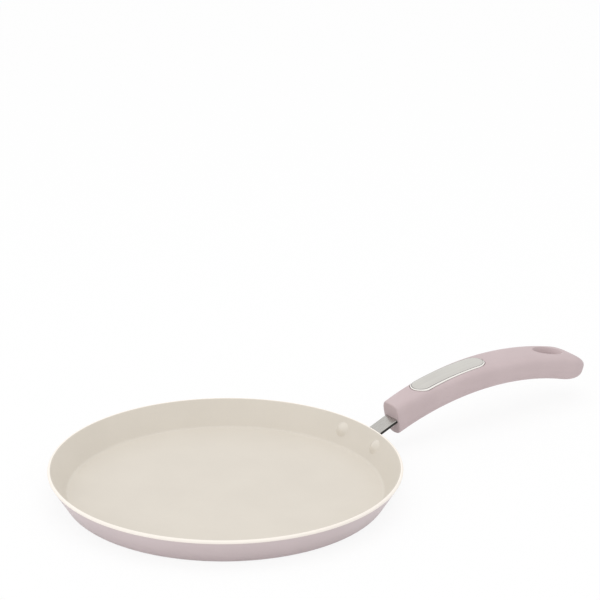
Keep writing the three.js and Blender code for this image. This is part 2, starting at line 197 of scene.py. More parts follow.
class Graph:
    """A node tree that makes nodes from their type, their settings and what their sockets take."""

    def __init__(self, tree):
        self.tree = tree

    def node(self, kind, settings, inputs, output=0):
        made = self.tree.nodes.new(kind)
        for key, value in settings.items():
            setattr(made, key, value)
        for key, value in inputs.items():
            self.feed(made.inputs[key], value)
        return Field(self, made.outputs[output])

    def feed(self, socket, value):
        if isinstance(value, Field):
            self.tree.links.new(value.socket, socket)
        else:
            socket.default_value = value

    def point(self):
        """The object coordinates, which are metres in the frame."""
        return self.node("ShaderNodeTexCoord", {}, {}, "Object")

    def stretched(self, scale):
        """The object coordinates, each axis multiplied, so that a pattern runs along the small ones."""
        vector = {"Vector": self.point(), "Scale": scale}
        return self.node("ShaderNodeMapping", {"vector_type": "POINT"}, vector)

    def noise(self, vector, scale, detail=2.0):
        """Soft noise from 0 to 1, with the number of blotches in a metre."""
        inputs = {"Vector": vector, "Scale": scale, "Detail": detail}
        return self.node("ShaderNodeTexNoise", {"noise_dimensions": "3D"}, inputs)

    def ramp(self, value, low, high, start=0.0, end=1.0):
        """Runs from start to end while the value runs from low to high, and holds outside."""
        inputs = {"Value": value, "From Min": low, "From Max": high, "To Min": start, "To Max": end}
        return self.node("ShaderNodeMapRange", {"interpolation_type": "SMOOTHSTEP"}, inputs)

    def mix(self, share, first, second):
        """From the first colour to the second."""
        return self.node("ShaderNodeMix", {"data_type": "RGBA"}, {0: share, 6: first, 7: second}, 2)

    def mark(self, name):
        """A number that the piece's mesh keeps at each point, 0 on a piece without it."""
        return self.node("ShaderNodeAttribute", {"attribute_name": name}, {}, "Fac")

    def bump(self, height, depth):
        """A normal from a height of 0 to 1 that stands for the depth in metres."""
        return self.node("ShaderNodeBump", {}, {"Height": height, "Distance": depth, "Strength": 1.0})


def tone(red, green, blue):
    """A colour as read on a screen, 0 to 255, in the linear numbers that a shader takes."""
    part = np.array([red, green, blue]) / 255
    linear = np.where(part <= 0.04045, part / 12.92, ((part + 0.055) / 1.055) ** 2.4)
    return (*linear.tolist(), 1.0)


def new_finish(name, **constants):
    """A material, its graph and its shader, with the shader's constant sockets set."""
    material = bpy.data.materials.new(name)
    material.use_nodes = True
    graph = Graph(material.node_tree)
    shader = material.node_tree.nodes["Principled BSDF"]
    for socket, value in constants.items():
        shader.inputs[socket.replace("_", " ")].default_value = value
    return material, graph, shader.inputs


print("cream reads", np.round(tone(224, 217, 206)[:3], 3))

# %% [markdown]
# ## Coats
#
# The ceramic lining and the outer coat are sprayed and baked. Both have a faint orange
# peel, a slightly uneven gloss and a colour that drifts by a few per cent. Two sizes of
# noise are enough: a wide one for the drift and a fine one for the peel.

# %% Coat finishes
def coat_finish(name, light, dark, gloss, peel, sheen, edge=None):
    """A baked coat: colour drifts between two tones, roughness varies round its gloss, peel is a bump.

    Sheen is the strength of the reflection. An edge tone, a painted highlight, goes where the piece's mark
    'lip' is 1.
    """
    material, graph, shader = new_finish(name, Coat_Roughness=0.2, Specular_IOR_Level=sheen)
    drift = graph.noise(graph.point(), scale=26.0, detail=3.0)
    fleck = graph.noise(graph.point(), scale=900.0, detail=1.0)
    dimple = graph.noise(graph.point(), scale=420.0, detail=1.5)
    share = graph.ramp(drift * 0.75 + fleck * 0.25, low=0.3, high=0.7)
    coat = graph.mix(share, tone(*light), tone(*dark))
    # The lip's paler edge tone is a painted highlight on the rounded rim.
    if edge is not None:
        coat = graph.mix(graph.mark("lip"), coat, tone(*edge))
    graph.feed(shader["Base Color"], coat)
    graph.feed(shader["Roughness"], gloss + 0.05 * (drift - 0.5) + 0.06 * (fleck - 0.5))
    graph.feed(shader["Coat Weight"], graph.ramp(drift, low=0.25, high=0.75, start=0.03, end=0.06))
    graph.feed(shader["Normal"], graph.bump(dimple, depth=peel))
    return material


# A paler tone for the outside of the lip: a painted highlight.
LIP_HIGHLIGHT_TONE = (252, 245, 236)
CERAMIC_PEEL = 0.02 * MM
ENAMEL_PEEL = 0.025 * MM
cream_ceramic = coat_finish(
    "cream_ceramic", (221, 214, 203), (218, 211, 200),
    gloss=0.36, peel=CERAMIC_PEEL, sheen=0.08, edge=LIP_HIGHLIGHT_TONE,
)
rivet_cream = coat_finish(
    "rivet_cream", (225, 218, 207), (222, 215, 204),
    gloss=0.24, peel=CERAMIC_PEEL, sheen=0.4,
)
pink_enamel = coat_finish(
    "pink_enamel", (208, 194, 195), (204, 190, 191),
    gloss=0.4, peel=ENAMEL_PEEL, sheen=0.25,
)
print("coats:", cream_ceramic.name, rivet_cream.name, pink_enamel.name)

# %% [markdown]
# ## Moulding
#
# The grip is a plastic core with a soft-touch skin. Such a skin is matt and has a very
# fine grain, finer than the coats' peel, and it polishes a little in soft patches.

# %% Soft-touch finish
def moulding_finish():
    """Grain is two fine noises as a bump, and roughness and colour drift in soft patches."""
    material, graph, shader = new_finish("soft_touch_pink", Specular_IOR_Level=0.35)
    grain = graph.noise(graph.point(), scale=2600.0, detail=2.0)
    pores = graph.noise(graph.point(), scale=1100.0, detail=1.0)
    patch = graph.noise(graph.point(), scale=38.0, detail=3.0)
    share = graph.ramp(patch * 0.7 + grain * 0.3, low=0.3, high=0.7)
    graph.feed(shader["Base Color"], graph.mix(share, tone(204, 187, 188), tone(198, 181, 182)))
    graph.feed(shader["Roughness"], 0.6 + 0.12 * (patch - 0.5) + 0.1 * (grain - 0.5))
    graph.feed(shader["Normal"], graph.bump(grain * 0.6 + pores * 0.4, depth=0.035 * MM))
    return material


soft_touch_pink = moulding_finish()
print("moulding:", soft_touch_pink.name)

# %% [markdown]
# ## Metals
#
# Four metal surfaces differ in the marks that their making left, and two also carry painted light. The
# bracket is polished sheet whose cut edge is painted dark as a reflection. The inlay is brushed along its
# length, with a polished bevel painted brighter as a highlight and a fine line inside it painted dark as
# shade. The pan's base was faced on a lathe, so its marks are rings round the axis. The screw is plated and
# slightly cloudy.

# %% Metal finishes
def bracket_finish():
    """Streaks along X on the polished faces; the sheet's edge, marked on the mesh, is rougher and has a
    painted dark reflection.
    """
    material, graph, shader = new_finish("bracket_steel", Metallic=1.0)
    streak = graph.noise(graph.stretched((30.0, 1800.0, 500.0)), scale=1.0, detail=3.0)
    cloud = graph.noise(graph.point(), scale=60.0, detail=2.0)
    sheared = graph.mark("sheared")
    face = graph.mix(graph.ramp(streak, low=0.3, high=0.7), tone(195, 193, 188), tone(185, 183, 179))
    # The near-black tone on the sheet's edge is a painted dark reflection.
    graph.feed(shader["Base Color"], graph.mix(sheared, face, tone(58, 57, 55)))
    graph.feed(shader["Roughness"], 0.24 + 0.14 * (streak - 0.5) + 0.12 * (cloud - 0.5) + 0.25 * sheared)
    graph.feed(shader["Normal"], graph.bump(streak, depth=0.004 * MM))
    return material


def inlay_finish():
    """Streaks along X on the flat; two marks are 1 on the bevel, polished and painted brighter as a
    highlight, and in the cut line, painted dark as shade.
    """
    material, graph, shader = new_finish("inlay_steel", Metallic=1.0)
    streak = graph.noise(graph.stretched((14.0, 4200.0, 14.0)), scale=1.0, detail=4.0)
    cloud = graph.noise(graph.point(), scale=45.0, detail=2.0)
    bevel, line = graph.mark("bevel"), graph.mark("line")
    share = graph.ramp(streak * 0.7 + cloud * 0.3, low=0.3, high=0.7)
    brushed = graph.mix(share, tone(215, 213, 207), tone(205, 202, 197))
    # The bevel is really polished, and its paler tone is a painted highlight.
    bevel_highlighted = graph.mix(bevel, brushed, tone(246, 243, 238))
    # The dark tone in the cut line is painted shade.
    graph.feed(shader["Base Color"], graph.mix(line, bevel_highlighted, tone(96, 95, 93)))
    graph.feed(shader["Roughness"], 0.34 + 0.16 * (streak - 0.5) + 0.1 * (cloud - 0.5) - 0.16 * bevel)
    graph.feed(shader["Normal"], graph.bump(streak * (1 - bevel), depth=0.004 * MM))
    return material


def turned_finish():
    """Lathe marks: noise read along the distance from the axis, so that it forms rings."""
    material, graph, shader = new_finish("bare_aluminium", Metallic=1.0)
    level = graph.stretched((1.0, 1.0, 0.0))
    radius = graph.node("ShaderNodeVectorMath", {"operation": "LENGTH"}, {0: level}, "Value")
    rings = graph.node("ShaderNodeCombineXYZ", {}, {"X": radius})
    tool = graph.noise(rings, scale=2400.0, detail=3.0)
    band = graph.noise(rings, scale=160.0, detail=2.0)
    cloud = graph.noise(graph.point(), scale=30.0, detail=3.0)
    share = graph.ramp(tool * 0.5 + band * 0.3 + cloud * 0.2, low=0.3, high=0.7)
    graph.feed(shader["Base Color"], graph.mix(share, tone(206, 206, 204), tone(186, 186, 184)))
    graph.feed(shader["Roughness"], 0.36 + 0.16 * (tool - 0.5) + 0.12 * (cloud - 0.5))
    graph.feed(shader["Normal"], graph.bump(tool, depth=0.012 * MM))
    return material


def plated_finish():
    """Zinc plating: cloudy in two sizes, both in colour and in roughness."""
    material, graph, shader = new_finish("screw_steel", Metallic=1.0)
    cloud = graph.noise(graph.point(), scale=500.0, detail=3.0)
    speck = graph.noise(graph.point(), scale=2600.0, detail=2.0)
    share = graph.ramp(cloud * 0.6 + speck * 0.4, low=0.3, high=0.7)
    graph.feed(shader["Base Color"], graph.mix(share, tone(202, 203, 204), tone(178, 178, 176)))
    graph.feed(shader["Roughness"], 0.3 + 0.2 * (cloud - 0.5) + 0.1 * (speck - 0.5))
    graph.feed(shader["Normal"], graph.bump(speck, depth=0.008 * MM))
    return material


bracket_steel = bracket_finish()
inlay_steel = inlay_finish()
bare_aluminium = turned_finish()
screw_steel = plated_finish()
print("metals:", bracket_steel.name, inlay_steel.name, bare_aluminium.name, screw_steel.name)

# %% [markdown]
# ## The pan's section
#
# The pan is one pressed sheet: a flat floor, a fillet, a straight leaning wall and a
# rounded edge. All its surfaces come from that section by offsets. So the section is
# written once, as points measured down the wall from the middle of the rounded edge
# and outwards from the middle of the sheet.

# %% Pan sizes and section
rim_low, rim_high = (np.array(corner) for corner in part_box("ceramic_lining"))
RIM_RADIUS = (rim_high - rim_low)[0] / 2
PAN_HEIGHT = rim_high[2]
WALL = 2.6 * MM
BASE = 3.5 * MM
COAT = 0.35 * MM
WALL_LEAN = np.radians(32.2)
FLOOR_FILLET = 3.0 * MM
FOOT_FILLET = 5.0 * MM
ENAMEL_START = np.radians(14.0)
LIP_WRAP = 0.4 * MM
LIP_HIGHLIGHT_SIDE = np.radians(20.0)
SEAM = 0.04 * MM
TURN_STEPS = 288
ARC_STEPS = 28

wall_up = np.array([np.sin(WALL_LEAN), np.cos(WALL_LEAN)])
wall_out = np.array([np.cos(WALL_LEAN), -np.sin(WALL_LEAN)])
lip_centre = np.array([RIM_RADIUS - WALL / 2, PAN_HEIGHT - WALL / 2])


def wall_point(down, out):
    """A (radius, height) point: from the lip's centre, down the wall and out from the sheet's middle."""
    return lip_centre - np.multiply.outer(down, wall_up) + np.multiply.outer(out, wall_out)


def arc(centre, radius, start, end, steps=ARC_STEPS):
    """Points at equal angles on a circle, ends included."""
    angle = np.linspace(start, end, steps)
    return centre + radius * np.stack([np.cos(angle), np.sin(angle)], axis=-1)


def dish(out, floor, fillet, start=-np.pi / 2):
    """A floor-to-wall fillet, tangent to both, followed by the wall's top point."""
    edge = wall_point(0.0, out - fillet)
    centre = edge - wall_up * (edge[1] - floor - fillet) / wall_up[1]
    return np.vstack([arc(centre, fillet, start, -WALL_LEAN), wall_point(0.0, out)])


def rounded_edge(radius):
    """A half circle round the lip's centre, from the wall's inner side to its outer side."""
    return arc(lip_centre, radius, np.pi - WALL_LEAN, -WALL_LEAN)


def turned(profile, origin=(0.0, 0.0, 0.0), axis=(0.0, 0.0, 1.0), steps=TURN_STEPS):
    """A (radius, height) profile carried round an axis through an origin."""
    axis = np.array(axis)
    if abs(axis[1]) < abs(axis[2]):
        side = np.array([axis[2], 0.0, -axis[0]])
    else:
        side = np.array([-axis[1], axis[0], 0.0])
    side = side / np.linalg.norm(side)
    angle = np.linspace(0.0, 2 * np.pi, steps, endpoint=False)[:, None]
    spoke = np.cos(angle) * side + np.sin(angle) * np.cross(axis, side)
    radius, height = profile[:, 0], profile[:, 1]
    return np.array(origin) + radius[:, None, None] * spoke + height[:, None, None] * axis


print("rim radius", round(RIM_RADIUS / MM, 2), "height", round(PAN_HEIGHT / MM, 2))

# %% [markdown]
# ## Lining, enamel and bare underside
#
# Inside, a cream ceramic coat covers the floor, the wall and the rounded edge, and stops
# just over the outside of the lip. A dusty pink coat covers the outside down to the foot.
# The foot itself is bare aluminium that was faced on a lathe and has shallow rings.

# %% Pan pieces
RING_COUNT = 4
RING_PITCH = 22.0 * MM
RING_WIDTH = 5.0 * MM
RING_DEPTH = 0.5 * MM
RING_SLOPE = 0.7 * MM
half_wall = WALL / 2
half_core = half_wall - COAT
AXIS = np.array([[0.0, 1.0]])


def lining_profile():
    """Up the visible side, over the lip and back along the metal.

    The mark that comes with it is 1 on the lip's outer half, where a paler tone is painted as a highlight.
    """
    top = dish(-half_wall, BASE, FLOOR_FILLET)
    under = dish(-half_core, BASE - COAT, FLOOR_FILLET + COAT)
    wrap = wall_point(np.array([LIP_WRAP, LIP_WRAP]), np.array([half_wall, half_core]))
    back = np.vstack([rounded_edge(half_core)[::-1], under[-2::-1]])
    profile = np.vstack([AXIS * top[0], top[:-1], rounded_edge(half_wall), wrap, back, AXIS * under[0]])
    outward = np.array([np.cos(LIP_HIGHLIGHT_SIDE), np.sin(LIP_HIGHLIGHT_SIDE)])
    return profile, ((profile - lip_centre) @ outward > 0).astype(float)


def enamel_profile():
    """Up the outside from the foot to the lining's edge, and back along the metal."""
    outer = dish(half_wall, 0.0, FOOT_FILLET, ENAMEL_START - np.pi / 2)[:-1]
    under = dish(half_core, COAT, FOOT_FILLET - COAT, ENAMEL_START - np.pi / 2)[:-1]
    end = wall_point(np.full(2, LIP_WRAP + SEAM), np.array([half_wall, half_core]))
    return np.vstack([outer, end, under[::-1], outer[:1]])


def ring_grooves():
    """Outermost ring first: in, down the slope, along the floor of the groove and out again."""
    middle = RING_PITCH * np.arange(RING_COUNT, 0, -1)[:, None]
    half = RING_WIDTH / 2
    step = np.array([half, half - RING_SLOPE, RING_SLOPE - half, -half])
    depth = np.array([0.0, RING_DEPTH, RING_DEPTH, 0.0]) + 0 * middle
    return np.stack([middle + step, depth], axis=-1).reshape(-1, 2)


def body_profile():
    """Floor, wall and edge of the metal, the outside, the foot's step and the ringed underside."""
    inner = dish(-half_core, BASE - COAT, FLOOR_FILLET + COAT)
    outer = dish(half_core, COAT, FOOT_FILLET - COAT, ENAMEL_START - np.pi / 2)
    foot = np.array([outer[0], [outer[0, 0] - SEAM, 0.0]])
    edge = rounded_edge(half_core)
    return np.vstack([AXIS * inner[0], inner[:-1], edge, outer[-2::-1], foot, ring_grooves(), 0 * AXIS])


profile, lip = lining_profile()
lining = add_piece("ceramic_lining_smooth", turned(profile), lip=lip[:, None] * np.ones(TURN_STEPS))
dress(lining, cream_ceramic, "cream_ceramic", "ceramic_lining")
enamel = add_piece("outer_enamel_smooth", turned(enamel_profile()))
dress(enamel, pink_enamel, "pink_enamel", "outer_enamel")
body = add_piece("pan_body_smooth", turned(body_profile()))
dress(body, bare_aluminium, "bare_aluminium", "pan_body")

# %% [markdown]
# ## Rivets
#
# Two rivets hold the bracket to the wall. Inside the pan each has a low domed head that
# was sprayed with the lining, so its edge is soft. Outside, the tail was pressed flat on
# the bracket. Each is one profile turned round the wall's normal.

# %% Rivet pieces
RIVET_SPACING = 39.0 * MM
RIVET_DROP = 8.6 * MM
RIVET_SHANK = 2.5 * MM
RIVET_HEAD = 5.5 * MM
RIVET_DOME = 2.3 * MM
RIVET_TAIL = 4.0 * MM
RIVET_TAIL_HEIGHT = 1.6 * MM
RIVET_BITE = 0.1 * MM
TAIL_BITE = 0.05 * MM
TAIL_DRAW = 0.35
DOME_SOFTNESS = 1.25
DOME_STEPS = 25
TAIL_STEPS = 14
RIVET_STEPS = 64
FIT = 0.3 * MM
SHEET = 2.6 * MM
plate_outer = half_wall + FIT + SHEET
rivet_radius, rivet_height = wall_point(RIVET_DROP, 0.0)
rivet_angle = np.arcsin(RIVET_SPACING / 2 / rivet_radius)


def rivet_profile():
    """A dome that runs out softly, a short skirt into the lining, the shank and a round-edged tail."""
    share = np.linspace(0.0, 1.0, DOME_STEPS)
    swell = RIVET_DOME * (1 - share**2) ** DOME_SOFTNESS
    dome = np.stack([RIVET_HEAD * share, -half_wall - swell], axis=-1)
    foot = RIVET_BITE - half_wall
    skirt = [[RIVET_HEAD, foot], [RIVET_SHANK, foot]]
    seat = plate_outer - TAIL_BITE
    turn = np.linspace(0.0, np.pi / 2, TAIL_STEPS)
    tail = seat + RIVET_TAIL_HEIGHT * np.sin(turn)
    spread = RIVET_TAIL - TAIL_DRAW * RIVET_TAIL * (1 - np.cos(turn))
    crown = np.stack([spread, tail], axis=-1)
    return np.vstack([dome, skirt, [[RIVET_SHANK, seat]], crown, [[0.0, tail[-1]]]])


for name, angle in (("rivet_left", rivet_angle), ("rivet_right", -rivet_angle)):
    around = np.array([np.cos(angle), np.sin(angle)])
    origin = [*(rivet_radius * around), rivet_height]
    normal = [*(wall_out[0] * around), wall_out[1]]
    rivet = add_piece(name + "_smooth", turned(rivet_profile(), origin, normal, RIVET_STEPS))
    dress(rivet, rivet_cream, "rivet_cream", name)

# %% [markdown]
# ## The handle's line
#
# The grip follows one arc that leaves the pan upwards and bends down to the tip. A point
# of the handle is given by its distance along that arc, its distance to the side and its
# height square to the arc. The grip, its cuts and its inlay all use the same three.

# %% Handle line and section
MOUTH_GAP = 21.5 * MM
MOUTH = np.array([RIM_RADIUS + MOUTH_GAP, PAN_HEIGHT])
GRIP_LENGTH = 178.0 * MM
GRIP_ARC = 233.0 * MM
GRIP_SLOPE = np.radians(21.3)
GRIP_WIDTHS = (18.0 * MM, 31.0 * MM, 34.0 * MM)
GRIP_DEPTHS = (24.0 * MM, 19.4 * MM, 21.0 * MM)
TOP_SQUARENESS = 4.0
UNDER_SQUARENESS = 2.6
MOUTH_LEAN = np.radians(10.0)
MOUTH_LEAN_LENGTH = 40.0 * MM
run = np.array([np.cos(GRIP_SLOPE), np.sin(GRIP_SLOPE)])
rise = np.array([-run[1], run[0]])


def on_grip(along, side, height):
    """Along the arc, to the side, and up square to it; near the mouth the sections lean upright."""
    slope = GRIP_SLOPE - along / GRIP_ARC
    sine, cosine = np.sin(slope), np.cos(slope)
    near = np.clip(1 - along / MOUTH_LEAN_LENGTH, 0.0, None)
    lean = np.tan(MOUTH_LEAN) * near**2 * height
    x = MOUTH[0] + GRIP_ARC * (np.sin(GRIP_SLOPE) - sine) - height * sine + lean * cosine
    z = MOUTH[1] + GRIP_ARC * (cosine - np.cos(GRIP_SLOPE)) + height * cosine + lean * sine
    return np.stack(np.broadcast_arrays(x, side, z), axis=-1)


def through_three(values, along):
    """The parabola through a start, a middle and an end value along the grip."""
    start, middle, end = values
    share = along / GRIP_LENGTH
    rest = 1 - share
    return start * rest * (rest - share) + 4 * middle * share * rest + end * share * (share - rest)


def grip_height(along, side, squareness):
    """How far the surface stands from the centre line: a squared round of half the width and depth."""
    width = through_three(GRIP_WIDTHS, along) / 2
    depth = through_three(GRIP_DEPTHS, along) / 2
    return depth * (1 - np.abs(side / width) ** squareness) ** (1 / squareness)


tip = on_grip(np.array(GRIP_LENGTH), 0.0, 0.0)
print("grip from", np.round(MOUTH / MM, 1), "to", np.round(tip[[0, 2]] / MM, 1))

# %% [markdown]
# ## Outlines that are grown
#
# A round-ended slot is a line grown by a radius. A sheet with soft edges is a thin box
# grown by a small radius. One function makes both: a core box of any size, even a flat
# one, with quarter circles round its corners and points along its long edges.

# %% Grown outline and booleans
def grown_outline(core_x, core_y, radius, corner=10, edge=12):
    """The core's corners plus the radius at each angle of a quarter circle, and points between them."""
    quarter = np.linspace(0.0, np.pi / 2, corner)
    between = np.linspace(1.0, -1.0, edge + 2)[1:-1]
    one, edge_one = np.ones(corner), np.ones(edge)
    quarters = [quarter - np.pi / 2, quarter, edge_one * np.pi / 2]
    angle = np.concatenate([*quarters, *[turn + np.pi for turn in quarters]])
    sign_x = np.concatenate([one, one, between, -one, -one, -between])
    sign_y = np.concatenate([-one, one, edge_one, one, -one, -edge_one])
    core_x, core_y, radius = (np.asarray(size)[..., None] for size in (core_x, core_y, radius))
    return core_x * sign_x + radius * np.cos(angle), core_y * sign_y + radius * np.sin(angle)


def carve(piece, cutters):
    """Cuts each cutter out of the piece, keeps the result as its mesh and removes the cutters."""
    for cutter in cutters:
        cut = piece.modifiers.new(cutter.name, "BOOLEAN")
        cut.operation = "DIFFERENCE"
        cut.solver = "EXACT"
        cut.object = cutter
    depsgraph = bpy.context.evaluated_depsgraph_get()
    made = bpy.data.meshes.new_from_object(piece.evaluated_get(depsgraph))
    piece.modifiers.clear()
    piece.data = made
    smooth(piece)
    for cutter in cutters:
        bpy.data.objects.remove(cutter)


print("outline points", grown_outline(1.0, 0.0, 1.0)[0].size)

# %% [markdown]
# ## Bracket
#
# The bracket is stamped from one steel sheet. Its plate lies on the wall under the two
# rivets, and its neck bends away from the wall and runs straight into the grip. The neck
# is the sheet's section carried up the wall, round the bend and on into the grip, and it
# spreads towards the plate.

# %% Bracket pieces
PLATE_HEIGHT = 13.0 * MM
NECK_WIDTH = 13.0 * MM
NECK_RISE = -0.5 * MM
NECK_FLARE = 8.0 * MM
NECK_FLARE_LENGTH = 16.0 * MM
NECK_BEND = 5.0 * MM
NECK_LEAD = 2.0 * MM
TONGUE_LENGTH = 34.0 * MM
SHEET_EDGE = 0.4 * MM
EDGE_STEPS = 6
EDGE_BAND = 0.01 * MM
LEAD_STEPS = 6
BEND_STEPS = 16
STRAIGHT_STEPS = 39
NECK_THINNING = 0.05 * MM
WRAP_FROM = 0.25
WRAP_TO = 0.875
plate_middle = half_wall + FIT + SHEET / 2


def plate_points():
    """A round-ended strip laid round the wall: out over its face, over a soft edge and back along the wall.

    The mark that comes with it is 1 on the two rows of the sheet's edge, which gets a painted dark
    reflection.
    """
    radius = PLATE_HEIGHT / 2
    turn = np.linspace(np.pi / 2, 0.0, EDGE_STEPS)
    inset = np.concatenate([[radius, radius / 2], SHEET_EDGE * (1 - np.cos(turn)), [0.0, radius]])
    edge = plate_outer - SHEET_EDGE * (1 - np.sin(turn))
    level = np.concatenate([[plate_outer, plate_outer], edge, [half_wall, half_wall]])
    along, up = grown_outline(rivet_angle * rivet_radius + 0 * inset, 0 * inset, radius - inset, edge=40)
    section = wall_point(RIVET_DROP - up, level[:, None] + 0 * up)
    turned_by = along / rivet_radius
    x, y = section[..., 0] * np.cos(turned_by), section[..., 0] * np.sin(turned_by)
    return np.stack([x, y, section[..., 1]], axis=-1), (inset == 0.0)[:, None] + 0.0 * up


def neck_line():
    """(x, z) points and directions: up the plate, round one bend and straight on into the grip."""
    start, base = MOUTH + NECK_RISE * rise, wall_point(0.0, plate_middle)
    before, down = np.linalg.solve(np.column_stack([run, wall_up]), base - start)
    first, last = np.pi / 2 - WALL_LEAN, GRIP_SLOPE
    reach = NECK_BEND * np.tan((first - last) / 2)
    centre = start + before * run - reach * wall_up + NECK_BEND * wall_out
    bend = np.linspace(first, last, BEND_STEPS)
    curve = centre + NECK_BEND * np.stack([-np.sin(bend), np.cos(bend)], axis=-1)
    lead = curve[0] - np.linspace(NECK_LEAD, NECK_LEAD / LEAD_STEPS, LEAD_STEPS)[:, None] * wall_up
    straight = np.linspace(0.0, 1.0, STRAIGHT_STEPS + 1)[1:, None]
    tail = curve[-1] + straight * (start + TONGUE_LENGTH * run - curve[-1])
    heading = np.concatenate([np.full(LEAD_STEPS, first), bend, np.full(STRAIGHT_STEPS, last)])
    return np.vstack([lead, curve, tail]), heading


def neck_points():
    """The sheet's soft-edged section along the neck line, wide on the plate and bent round the pan with it.

    The mark that comes with it is 1 on the two upright edges of the section, which get a painted dark
    reflection.
    """
    line, heading = neck_line()
    gone = np.concatenate([[0.0], np.cumsum(np.linalg.norm(np.diff(line, axis=0), axis=1))])
    near = np.clip(1 - gone / NECK_FLARE_LENGTH, 0.0, 1.0)
    half_width = NECK_WIDTH / 2 + NECK_FLARE * near**2
    thin = SHEET / 2 - NECK_THINNING * near
    side, up = grown_outline(
        half_width - SHEET_EDGE, thin - SHEET_EDGE, SHEET_EDGE + 0 * near, corner=EDGE_STEPS, edge=14
    )
    x = line[:, :1] - up * np.sin(heading)[:, None]
    z = line[:, 1:] + up * np.cos(heading)[:, None]
    on_wall = np.clip((near[:, None] - WRAP_FROM) / (WRAP_TO - WRAP_FROM), 0.0, 1.0)
    points = np.stack([x - on_wall * (x - np.sqrt(x**2 - side**2)), side, z], axis=-1)
    return points, np.abs(side) > half_width[:, None] - EDGE_BAND


points, sheared = plate_points()
bracket = add_piece("handle_bracket_plate", points, sheared=sheared)
dress(bracket, bracket_steel, "bracket_steel", "handle_bracket")
points, sheared = neck_points()
ends = np.zeros_like(sheared[:1])
neck = add_piece("handle_bracket_neck", capped(points), sheared=np.concatenate([ends, sheared, ends]))
dress(neck, bracket_steel, "bracket_steel", "handle_bracket")

# %% [markdown]
# ## Grip
#
# The grip is moulded: narrow and deep at its mouth, wide and flat towards its tip, with a
# flat top over a fuller underside. It is a loft of squared rounds along the arc. The
# socket, the inlay's pocket, the hanging hole and the screw's bore are then cut out, and
# the hole's cutter opens like a funnel at both ends, which leaves soft edges.

# %% Grip blank
MOUTH_ROUND = 1.6 * MM
MOUTH_FACE = 0.92
TIP_ROUND = 22.5 * MM
MOUTH_STEPS = 8
TIP_STEPS = 30


def grip_points(columns=176, middle=130):
    """Sections along the arc: drawn in a little at the mouth, and to a round nose at the tip."""
    lip = np.linspace(0.0, np.pi / 2, MOUTH_STEPS)
    nose = np.linspace(0.0, np.pi / 2, TIP_STEPS)[1:]
    plain = np.linspace(MOUTH_ROUND, GRIP_LENGTH - TIP_ROUND, middle)[1:]
    along = np.concatenate([
        MOUTH_ROUND * (1 - np.cos(lip)), plain, GRIP_LENGTH - TIP_ROUND * (1 - np.sin(nose)),
    ])[:, None]
    mouth_share = MOUTH_FACE + (1 - MOUTH_FACE) * np.sin(lip)
    grow = np.concatenate([mouth_share, np.ones(middle - 1), np.cos(nose)])[:, None]
    angle = np.linspace(0.0, 2 * np.pi, columns, endpoint=False)
    squareness = np.where(angle <= np.pi, TOP_SQUARENESS, UNDER_SQUARENESS)
    size = (np.abs(np.cos(angle)) ** squareness + np.abs(np.sin(angle)) ** squareness) ** (-1 / squareness)
    side = grow * through_three(GRIP_WIDTHS, along) / 2 * size * np.cos(angle)
    height = grow * through_three(GRIP_DEPTHS, along) / 2 * size * np.sin(angle)
    points = on_grip(along, side, height)
    face = points[:1].mean(axis=1, keepdims=True) + 0 * points[:1]
    return np.concatenate([face, points])


grip = add_piece("handle_grip_smooth", grip_points())
print("grip blank", len(grip.data.polygons), "faces")

# %% Grip cuts
INLAY_START = 22.5 * MM
INLAY_LENGTH = 62.0 * MM
INLAY_WIDTH = 18.0 * MM
INLAY_DEPTH = 1.2 * MM
POCKET_GAP = 0.5 * MM
HANG_FROM_TIP = 34.0 * MM
HANG_LENGTH = 25.0 * MM
HANG_WIDTH = 17.0 * MM
HANG_FLARE = 2.5 * MM
HANG_FLARE_DEPTH = 4.0 * MM
HANG_EDGE = 0.6 * MM
HANG_FLUSH = np.radians(82.0)
SOCKET_CLEARANCE = 0.12 * MM
OVERCUT = 4.0 * MM


def on_crown(inset, lift):
    """Round-ended outlines, one for each inset from the inlay's edge, lifted over the grip's top."""
    straight = (INLAY_LENGTH - INLAY_WIDTH) / 2 + 0 * inset
    along, side = grown_outline(straight, 0 * inset, INLAY_WIDTH / 2 - inset, corner=24, edge=60)
    along = along + INLAY_START + INLAY_LENGTH / 2
    return on_grip(along, side, grip_height(along, side, TOP_SQUARENESS) + lift[:, None])


def pocket_points():
    """The inlay's outline with a gap round it, from the pocket's floor straight up and out."""
    outwards = np.array([INLAY_WIDTH / 2, INLAY_WIDTH / 4, -POCKET_GAP])
    lift = np.repeat([-INLAY_DEPTH - POCKET_GAP, OVERCUT], outwards.size)
    return on_crown(np.concatenate([outwards, outwards[::-1]]), lift)


def hole_points(columns=96):
    """Ovals through the grip: straight inside, a cone at each face and a soft edge, almost flush."""
    cone = np.arctan2(HANG_FLARE, HANG_FLARE_DEPTH)
    turn = np.linspace(cone, HANG_FLUSH, 8)
    soft = HANG_EDGE * (np.cos(cone) - np.cos(turn))
    rest = HANG_EDGE * (np.sin(turn) - np.sin(HANG_FLUSH))
    leave = HANG_EDGE * np.array([np.sin(HANG_FLUSH), np.cos(HANG_FLUSH)])
    spread = np.concatenate([[-HANG_FLARE], soft, soft[-1] + leave[[0, 0]]])
    depth = np.concatenate([[-HANG_FLARE_DEPTH], rest, [leave[1], OVERCUT]])
    angle = np.linspace(0.0, 2 * np.pi, columns, endpoint=False)
    along = GRIP_LENGTH - HANG_FROM_TIP + (HANG_LENGTH / 2 + spread[:, None]) * np.cos(angle)
    side = (HANG_WIDTH / 2 + spread[:, None]) * np.sin(angle)
    top = on_grip(along, side, grip_height(along, side, TOP_SQUARENESS) + depth[:, None])
    under = on_grip(along, side, -grip_height(along, side, UNDER_SQUARENESS) - depth[:, None])
    return capped(np.concatenate([top[::-1], under]))


